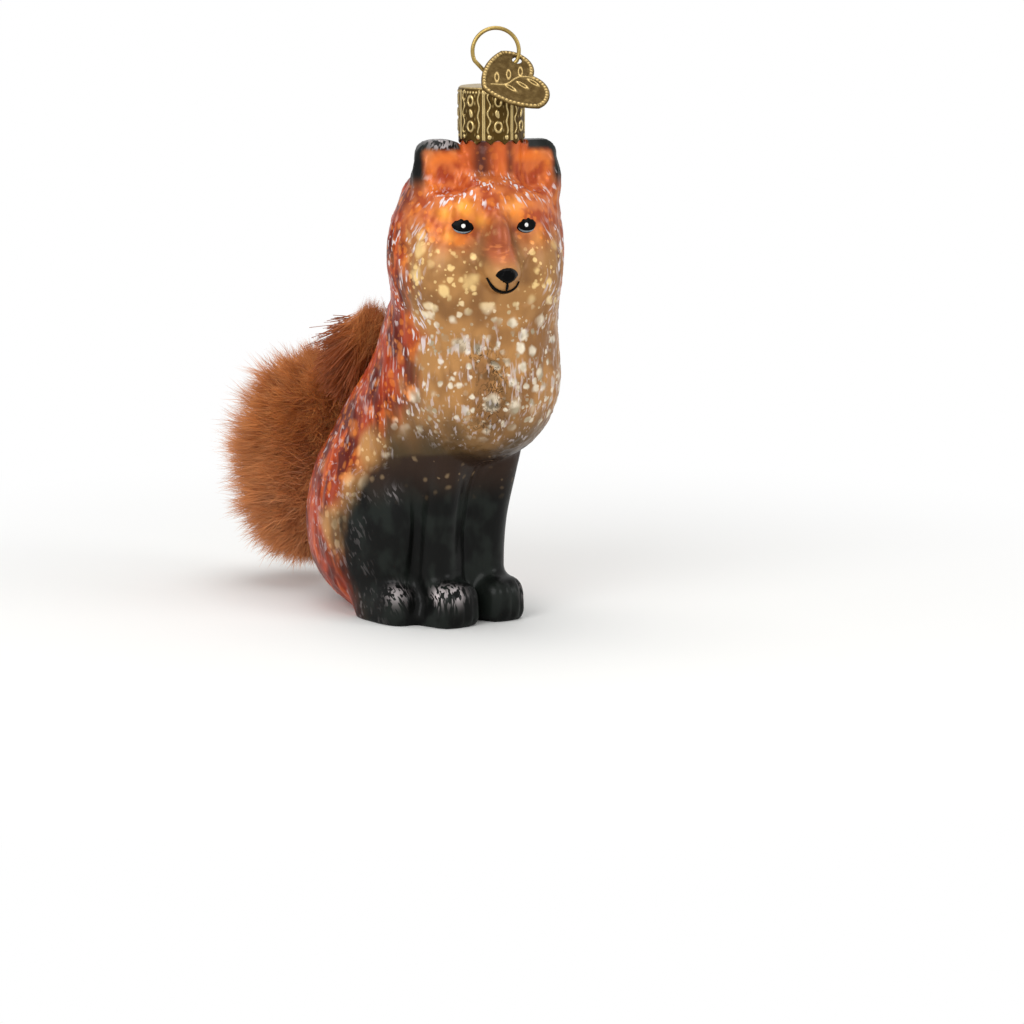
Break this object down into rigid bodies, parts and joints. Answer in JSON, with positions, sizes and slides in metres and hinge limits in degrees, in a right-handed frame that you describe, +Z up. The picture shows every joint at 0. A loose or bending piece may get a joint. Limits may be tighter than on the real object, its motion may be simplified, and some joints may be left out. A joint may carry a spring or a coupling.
{
  "type": "hanging glass fox figurine",
  "caption": "Sitting fox figurine of blown painted glass with a stamped metal cap, a wire hanger, a heart tag and a fur tail, to hang or to stand.",
  "frame": {"origin": "on the ground under the fox, in the flat underside between its feet", "axes": "+Z up, -Y the way the fox's chest faces, +X to the fox's left"},
  "size_m": [0.0362, 0.0938, 0.1196],
  "materials": {
    "painted_glass": "blown glass, silvered inside and lacquered outside, satin to glossy",
    "aged_brass": "stamped sheet, aged, dark in the hollows",
    "brass_wire": "drawn wire, aged",
    "tag_brass": "stamped sheet, aged, dark in the hollows",
    "tail_leather": "undyed back of a fur strip",
    "clear_glue": "set hot glue",
    "tail_fur": "dense rust-brown fur"
  },
  "bodies": {
    "glass": {"glass_body": "painted_glass", "tail_backing": "tail_leather", "tail_glue": "clear_glue", "tail_fur": "tail_fur"},
    "cap": {"cap": "aged_brass"},
    "hanger": {"hanger": "brass_wire"},
    "tag": {"tag": "tag_brass"}
  },
  "joints": [
    {"name": "cap_pull", "type": "slide", "parent": "glass", "child": "cap", "axis": [0, 0, 1], "range_m": [0, 0.022]},
    {"name": "hanger_lift", "type": "slide", "parent": "cap", "child": "hanger", "axis": [0, 0, 1], "range_m": [0, 0.0025]},
    {"name": "tag_swing", "type": "hinge", "parent": "hanger", "child": "tag", "pos_m": [0.00397, -0.01906, 0.11281], "axis": [-0.788, 0.6157, 0], "range_deg": [0, 60]}
  ]
}
